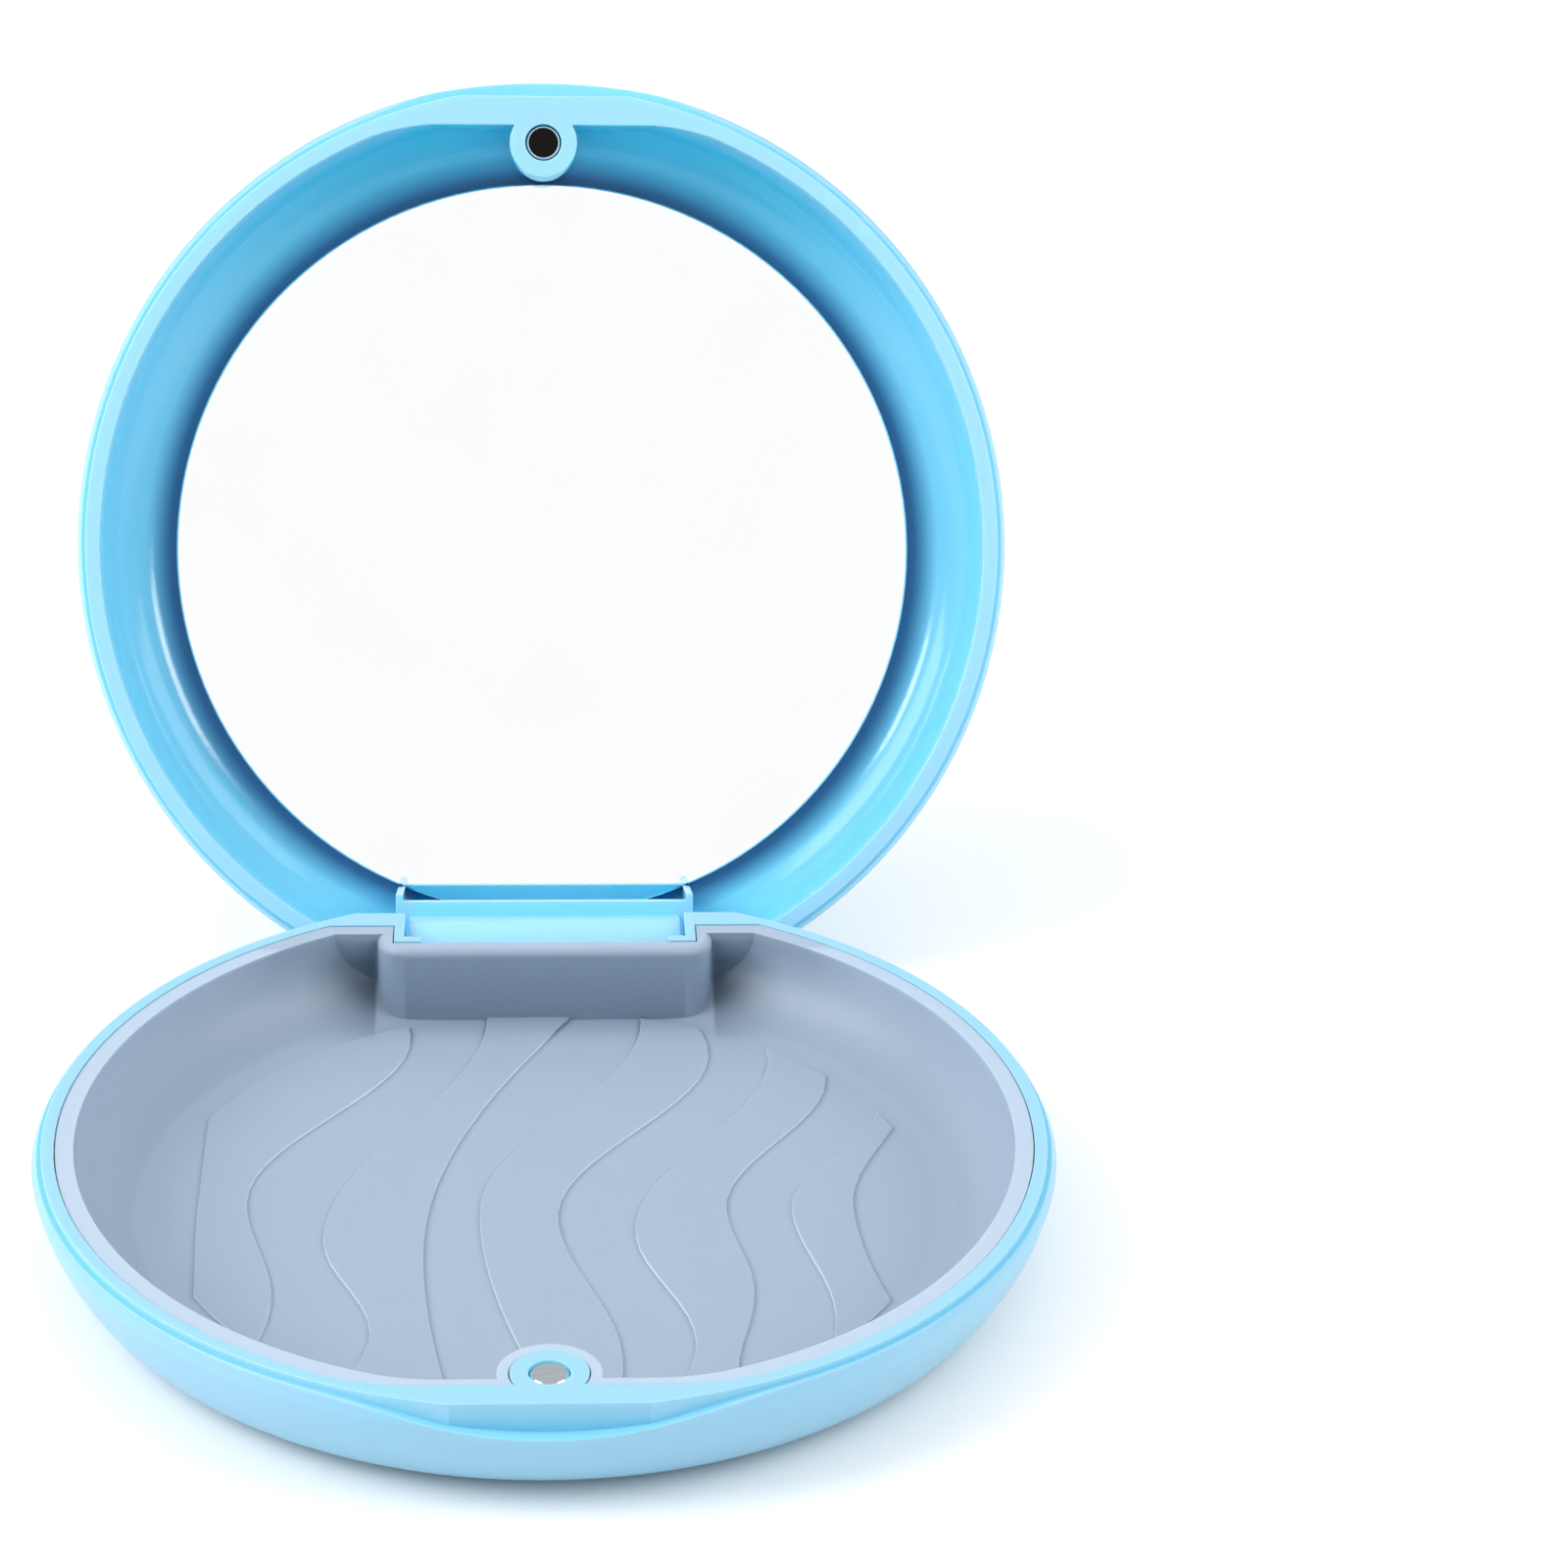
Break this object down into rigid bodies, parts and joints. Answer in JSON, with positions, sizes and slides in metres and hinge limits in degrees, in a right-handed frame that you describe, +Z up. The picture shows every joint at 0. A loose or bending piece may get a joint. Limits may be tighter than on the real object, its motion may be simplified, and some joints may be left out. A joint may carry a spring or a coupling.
{
  "type": "denture case",
  "caption": "Round hinged denture case: a shallow pan with a grey wave-ribbed tray and a lid with a mirror, held shut by magnets.",
  "frame": {"origin": "centre of the base's flat foot", "axes": "+Z up, +Y towards the hinge, -Y towards the thumb recess and the clasp, +X to the right as seen from the front"},
  "size_m": [0.085, 0.1213, 0.0779],
  "materials": {
    "shell": "satin",
    "tray": "satin",
    "mirror": "polished",
    "adhesive": "matte",
    "steel": "brushed",
    "magnet": "brushed nickel",
    "dark_magnet": "polished"
  },
  "bodies": {
    "base": {"base_shell": "shell", "liner_tray": "tray", "base_magnet": "magnet", "hinge_pin": "steel"},
    "lid": {"lid_shell": "shell", "mirror_glass": "mirror", "mirror_pad": "adhesive", "lid_magnet": "dark_magnet"}
  },
  "joints": [
    {"name": "lid_hinge", "type": "hinge", "parent": "base", "child": "lid", "pos_m": [0, 0.0371, 0.006], "axis": [1, 0, 0], "range_deg": [0, 112]}
  ]
}
